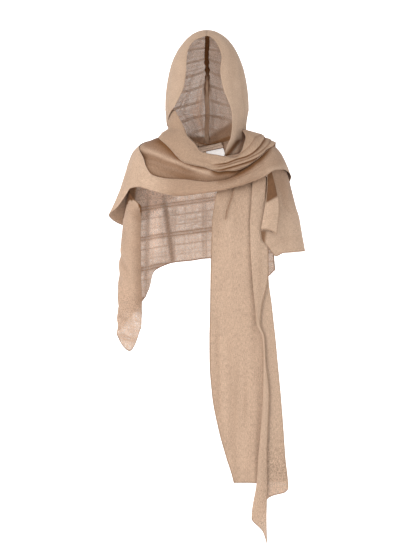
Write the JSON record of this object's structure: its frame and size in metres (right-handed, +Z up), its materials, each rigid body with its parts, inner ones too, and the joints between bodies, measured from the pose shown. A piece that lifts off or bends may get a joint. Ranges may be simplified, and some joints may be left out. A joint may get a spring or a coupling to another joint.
{
  "type": "hooded scarf",
  "caption": "Hooded gauze scarf in its worn form: seamed hood, crossed neck wrap, draped shoulders, a short flap and a long front tail.",
  "frame": {"origin": "inside top of the hood's crown, where the wearer's head carries the scarf", "axes": "+Z up, -Y toward the front of the wearer, +X to the viewer's right, which is the wearer's left"},
  "size_m": [0.5418, 0.2382, 1.3998],
  "materials": {
    "gauze": "open crinkled weave, matt",
    "seam": "felled seam, matt",
    "label": "woven satin, blank"
  },
  "bodies": {
    "root": {"hood_left": "gauze", "hood_right": "gauze", "hood_seam": "seam", "neck_roll": "gauze", "neck_label": "label", "neck_wrap": "gauze", "cowl": "gauze", "shoulder_drape": "gauze", "back_shawl": "gauze", "sleeve_drape": "gauze", "long_tail": "gauze"}
  },
  "joints": []
}
